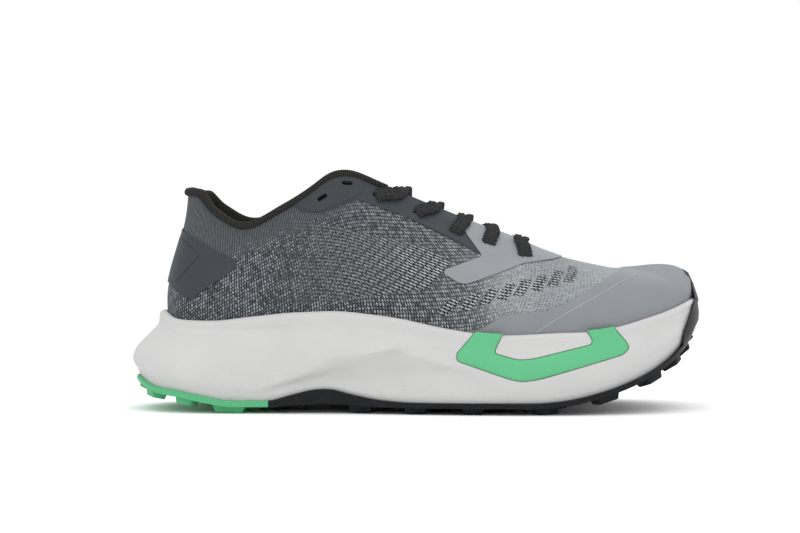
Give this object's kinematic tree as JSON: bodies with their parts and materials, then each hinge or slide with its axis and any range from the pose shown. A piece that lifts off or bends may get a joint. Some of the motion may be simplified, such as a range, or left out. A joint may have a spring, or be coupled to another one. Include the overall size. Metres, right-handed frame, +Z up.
{
  "type": "trail running shoe",
  "caption": "Low trail running shoe with a knitted upper, thick flared foam midsole, lugged rubber outsole, toe bumper, side inserts and a padded collar.",
  "frame": {"origin": "on the floor, in the middle of the flat spot under the heel", "axes": "+X runs from the heel to the toe, +Y to the inner (medial) side of this right shoe, +Z up"},
  "size_m": [0.2994, 0.1117, 0.1262],
  "materials": {
    "foam": "matte moulded foam, pale grey",
    "green_foam": "satin moulded foam, green",
    "green_rubber": "satin rubber, green",
    "black_rubber": "satin rubber, black",
    "knit": "engineered knit, dark grey fading to light grey at the toe",
    "grey_film": "matte moulded film, mid grey",
    "light_film": "matte fused film, light grey",
    "dark_film": "satin fused film, charcoal",
    "collar_knit": "ribbed knit, near black",
    "tongue_mesh": "spacer mesh, grey",
    "insole_cloth": "brushed cloth, near black",
    "lace_braid": "flat braided cord, black"
  },
  "bodies": {
    "root": {"midsole": "foam", "outsole_heel": "green_rubber", "outsole_forefoot": "black_rubber", "side_insert_lateral": "green_foam", "side_insert_medial": "green_foam", "upper": "knit", "toe_cap": "grey_film", "eyestay_front": "light_film", "eyestay_lateral": "dark_film", "eyestay_medial": "dark_film", "heel_counter": "dark_film", "collar": "collar_knit", "tongue": "tongue_mesh", "insole": "insole_cloth", "lace_1": "lace_braid", "lace_2": "lace_braid", "lace_3": "lace_braid", "lace_4": "lace_braid", "lace_5": "lace_braid"}
  },
  "joints": []
}
